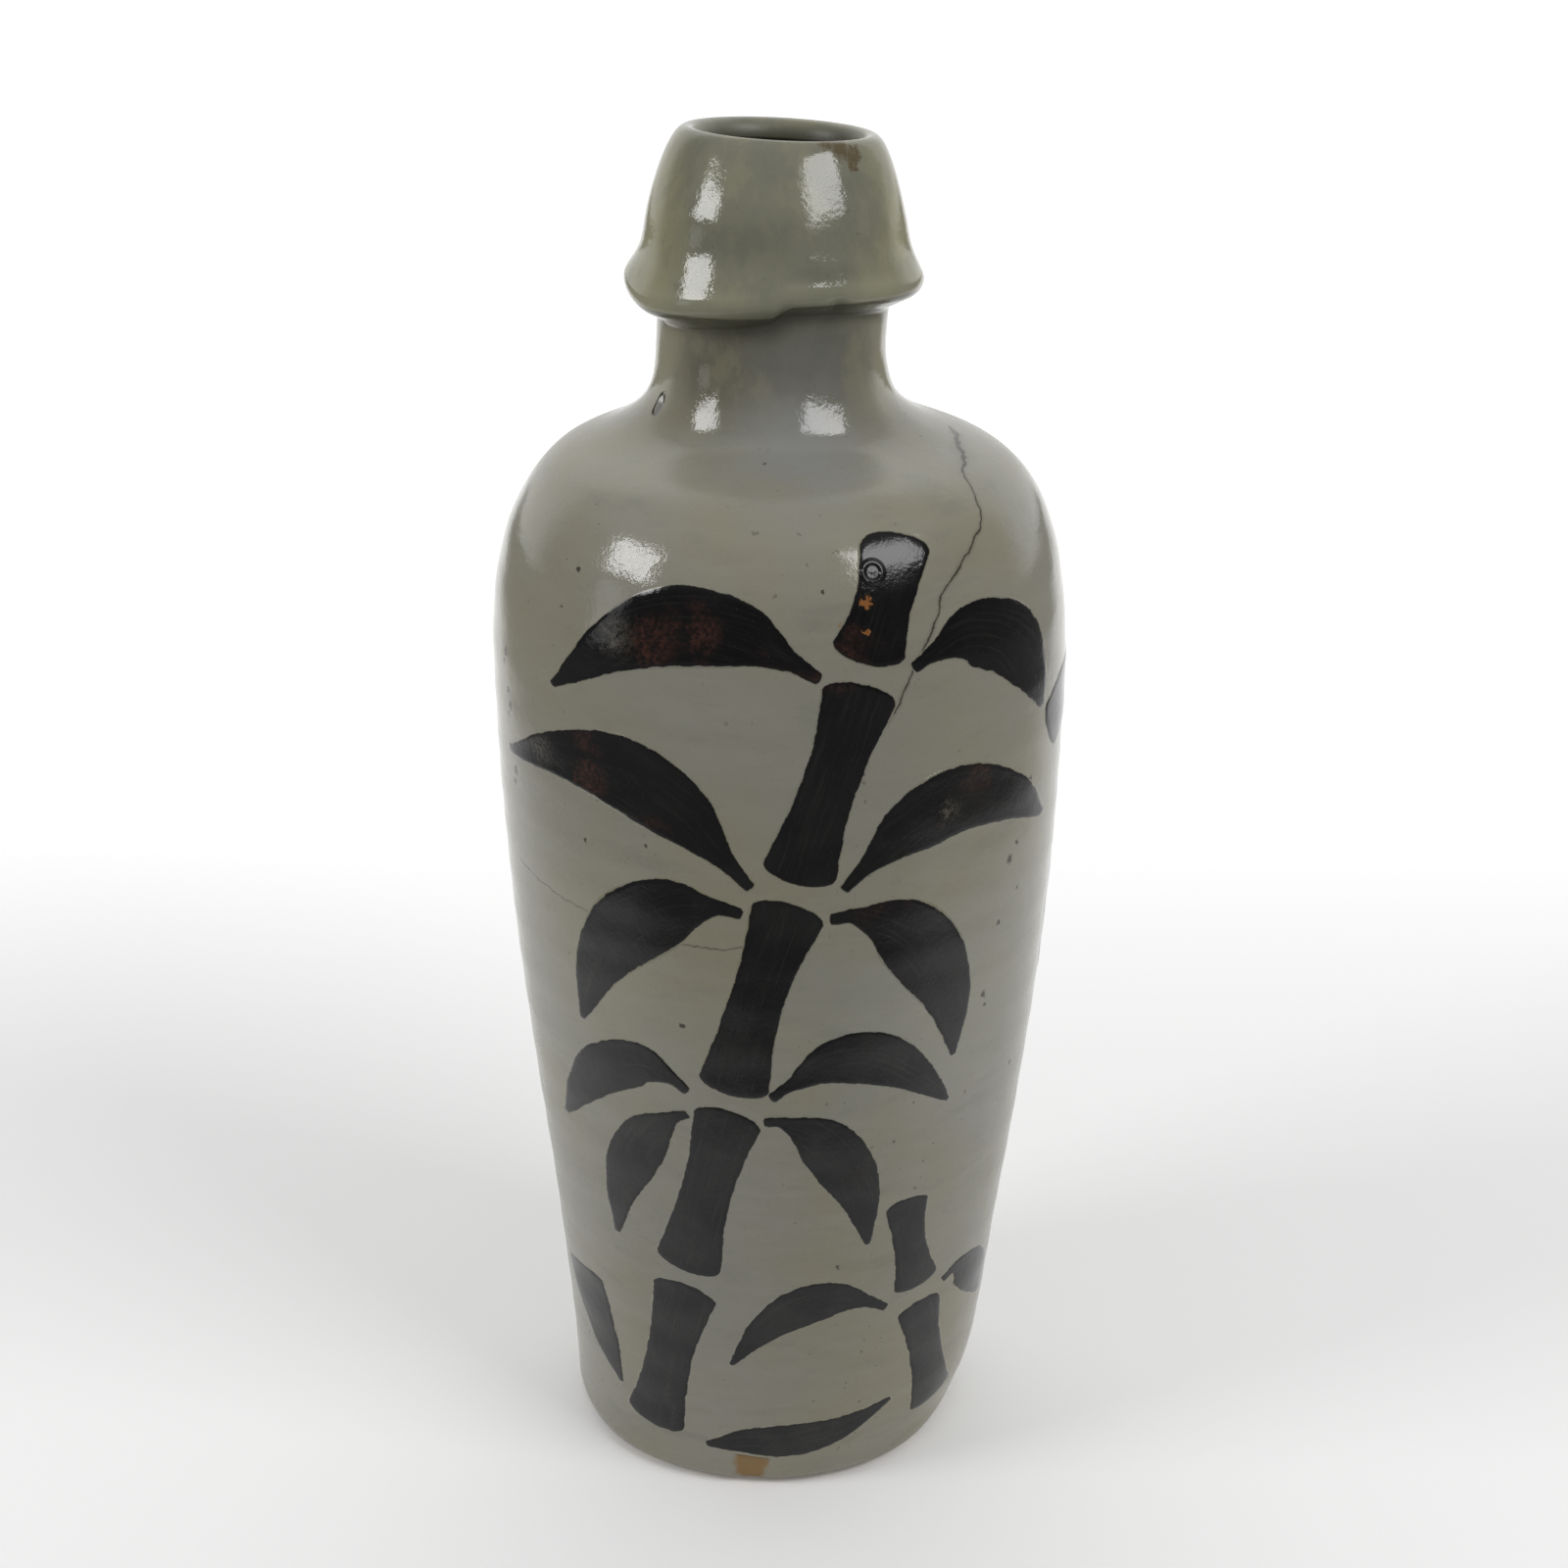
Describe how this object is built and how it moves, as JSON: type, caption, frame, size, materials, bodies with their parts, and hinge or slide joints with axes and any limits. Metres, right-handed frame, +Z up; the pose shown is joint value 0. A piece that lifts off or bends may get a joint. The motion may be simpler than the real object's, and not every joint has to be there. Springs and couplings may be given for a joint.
{
  "type": "stoneware sake bottle",
  "caption": "Tall shouldered stoneware bottle with a flared mouth collar, grey-olive glaze and brushed iron bamboo; holds and pours sake.",
  "frame": {"origin": "centre of the foot, on the face that the bottle stands on", "axes": "+Z up along the axis of the bottle, -Y towards the painted front, +X to the right of the front"},
  "size_m": [0.1246, 0.1245, 0.295],
  "materials": {
    "stoneware_clay": "unglazed, fired matt tan",
    "clay_slip": "unglazed, fired matt",
    "celadon_glaze": "glossy grey-olive ash glaze",
    "inner_glaze": "thin glossy olive glaze",
    "iron_pigment": "glossy iron black with rust-brown breaks"
  },
  "bodies": {
    "root": {"thrown_body": "stoneware_clay", "neck_slip": "clay_slip", "neck_tube": "stoneware_clay", "collar_slip": "clay_slip", "mouth_collar": "stoneware_clay", "outer_glaze": "celadon_glaze", "inner_glaze": "inner_glaze", "iron_stem": "iron_pigment", "iron_leaves_upper": "iron_pigment", "iron_leaves_middle": "iron_pigment", "iron_sprig_lower": "iron_pigment", "iron_spray_side": "iron_pigment"}
  },
  "joints": []
}
